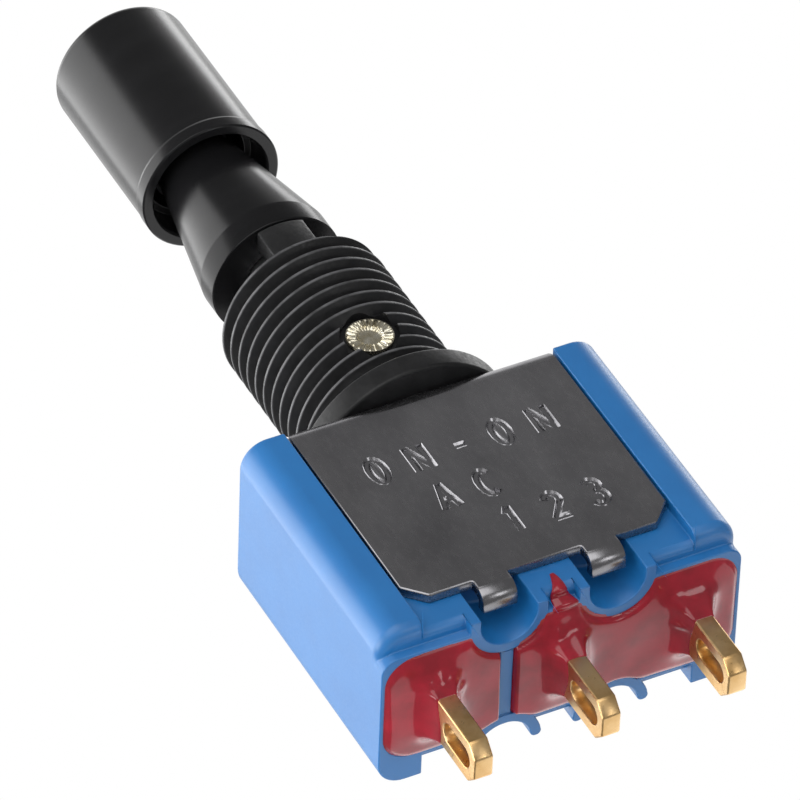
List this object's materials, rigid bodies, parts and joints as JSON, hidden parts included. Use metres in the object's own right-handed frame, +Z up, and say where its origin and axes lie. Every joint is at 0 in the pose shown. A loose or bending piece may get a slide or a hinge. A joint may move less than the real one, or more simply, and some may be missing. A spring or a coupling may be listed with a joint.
{
  "type": "toggle switch",
  "caption": "Sealed miniature toggle switch with a locking sleeve on its lever, threaded panel bushing, folded metal frame, moulded case and solder-eye terminals.",
  "frame": {"origin": "on the bushing axis in the panel seat, the upper face of the bushing flange", "axes": "+Z up the threaded bushing to the lever's tip, +X along the row of terminals; the lever tilts in the XZ plane"},
  "size_m": [0.0136, 0.008, 0.0376],
  "materials": {
    "case_blue": "smooth moulded thermoset, satin",
    "frame_steel": "plated sheet steel, satin",
    "bushing_black": "black conversion coat, matte",
    "pin_steel": "bare stainless, knurled end",
    "stem_steel": "turned",
    "lever_black": "black, polished",
    "spring_steel": "drawn wire",
    "plunger_nylon": "moulded",
    "contact_gold": "gold plate",
    "terminal_gold": "gold plate, satin",
    "seal_red": "cast epoxy, glossy"
  },
  "bodies": {
    "housing": {"case": "case_blue", "frame": "frame_steel", "bushing": "bushing_black", "pivot_pin": "pin_steel", "terminal_common": "terminal_gold", "terminal_left": "terminal_gold", "terminal_right": "terminal_gold", "fixed_contact_left": "contact_gold", "fixed_contact_right": "contact_gold", "epoxy_seal": "seal_red"},
    "lever": {"lever_stem": "stem_steel", "lever_cap": "lever_black", "lock_spring": "spring_steel", "plunger_spring": "spring_steel"},
    "sleeve": {"locking_sleeve": "lever_black"},
    "plunger": {"plunger": "plunger_nylon"},
    "rocker": {"rocker": "contact_gold", "moving_contact_left": "contact_gold", "moving_contact_right": "contact_gold"}
  },
  "joints": [
    {"name": "lever_tilt", "type": "hinge", "parent": "housing", "child": "lever", "pos_m": [0, 0, 0.00245], "axis": [0, 1, 0], "range_deg": [-12.5, 12.5]},
    {"name": "sleeve_slide", "type": "slide", "parent": "lever", "child": "sleeve", "axis": [0, 0, 1], "range_m": [0, 0.0015], "stiffness_N_per_m": 500, "springref_m": -0.002, "deforming": ["lock_spring"]},
    {"name": "plunger_slide", "type": "slide", "parent": "lever", "child": "plunger", "axis": [0, 0, 1], "range_m": [0, 0.00035], "stiffness_N_per_m": 500, "springref_m": -0.001, "deforming": ["plunger_spring"]},
    {"name": "rocker_tilt", "type": "hinge", "parent": "housing", "child": "rocker", "pos_m": [0, 0, -0.00655], "axis": [0, 1, 0], "range_deg": [-8, 8]}
  ],
  "couplings": [
    {"joint": "rocker_tilt", "follows": "lever_tilt", "ratio": -0.64}
  ]
}
